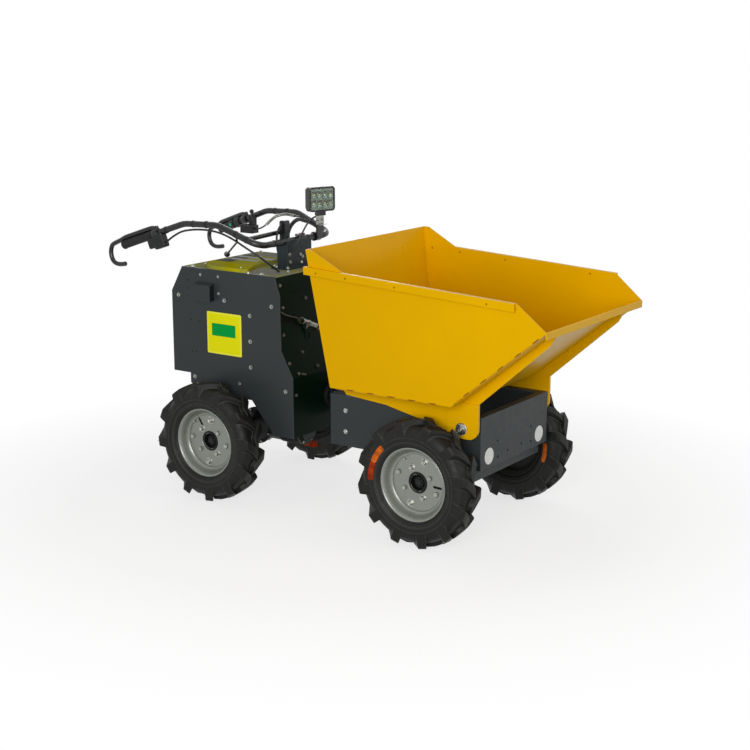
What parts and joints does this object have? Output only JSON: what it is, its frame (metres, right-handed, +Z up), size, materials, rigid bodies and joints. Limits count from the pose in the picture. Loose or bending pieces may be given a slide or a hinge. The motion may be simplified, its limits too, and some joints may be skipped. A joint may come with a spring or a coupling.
{
  "type": "walk-behind site dumper",
  "caption": "Battery walk-behind site dumper with a tipping skip on a pivoting front chassis, a box-shaped rear body, handlebar and work lamp.",
  "frame": {"origin": "middle of the overall length and width, on the ground", "axes": "+X forward towards the skip's spout, +Y to the machine's left, +Z up"},
  "size_m": [1.7646, 0.6962, 1.0435],
  "materials": {
    "tyre": "matt",
    "rim": "satin",
    "hub": "matt",
    "axle": "matt",
    "body_grey": "fine textured powder coat",
    "bulkhead": "satin",
    "battery": "matt",
    "lid": "gloss",
    "steel": "zinc plated",
    "black_steel": "satin",
    "grip": "matt",
    "lamp_body": "satin black",
    "lens": "clear",
    "skip_yellow": "satin",
    "black_plastic": "matt",
    "cable": "matt"
  },
  "bodies": {
    "front_right_wheel": {"front_right_tyre": "tyre", "front_right_rim": "rim", "front_right_hub": "hub"},
    "front_left_wheel": {"front_left_tyre": "tyre", "front_left_rim": "rim", "front_left_hub": "hub"},
    "rear_right_wheel": {"rear_right_tyre": "tyre", "rear_right_rim": "rim", "rear_right_hub": "hub"},
    "rear_left_wheel": {"rear_left_tyre": "tyre", "rear_left_rim": "rim", "rear_left_hub": "hub"},
    "rear_body": {"rear_axle": "axle", "rear_drive_motor": "axle", "rear_axle_mounts": "body_grey", "rear_side_plate_right": "body_grey", "rear_side_plate_left": "body_grey", "top_cover": "body_grey", "rear_bulkhead": "bulkhead", "rear_panel": "body_grey", "floor_pan": "body_grey", "battery_block": "battery", "battery_lid": "lid", "side_box": "body_grey", "pivot_yoke": "bulkhead", "pivot_pin": "steel", "handlebar": "black_steel", "grips": "grip", "hand_guards": "black_steel", "handlebar_post": "body_grey", "lamp_housing": "lamp_body", "lamp_lens": "lens", "lamp_bracket": "steel", "bar_controls": "black_plastic", "control_cables": "cable"},
    "front_chassis": {"front_axle": "axle", "front_drive_motor": "axle", "front_axle_mounts": "body_grey", "front_frame": "body_grey", "front_cross_plate": "body_grey", "pivot_knuckle": "bulkhead", "tip_pins": "steel"},
    "skip": {"skip_tub": "skip_yellow", "skip_bracket_right": "skip_yellow", "skip_bracket_left": "skip_yellow"}
  },
  "joints": [
    {"name": "front_right_wheel_spin", "type": "hinge", "parent": "front_chassis", "child": "front_right_wheel", "pos_m": [0.4392, -0.301, 0.2055], "axis": [0, 1, 0], "continuous": true},
    {"name": "front_left_wheel_spin", "type": "hinge", "parent": "front_chassis", "child": "front_left_wheel", "pos_m": [0.4392, 0.301, 0.2055], "axis": [0, 1, 0], "continuous": true},
    {"name": "rear_right_wheel_spin", "type": "hinge", "parent": "rear_body", "child": "rear_right_wheel", "pos_m": [-0.4038, -0.301, 0.2055], "axis": [0, 1, 0], "continuous": true},
    {"name": "rear_left_wheel_spin", "type": "hinge", "parent": "rear_body", "child": "rear_left_wheel", "pos_m": [-0.4038, 0.301, 0.2055], "axis": [0, 1, 0], "continuous": true},
    {"name": "centre_steer", "type": "hinge", "parent": "rear_body", "child": "front_chassis", "pos_m": [-0.0388, 0, 0.348], "axis": [0, 0, 1], "range_deg": [-30, 30]},
    {"name": "skip_tip", "type": "hinge", "parent": "front_chassis", "child": "skip", "pos_m": [0.5522, 0, 0.3795], "axis": [0, 1, 0], "range_deg": [0, 85]}
  ]
}
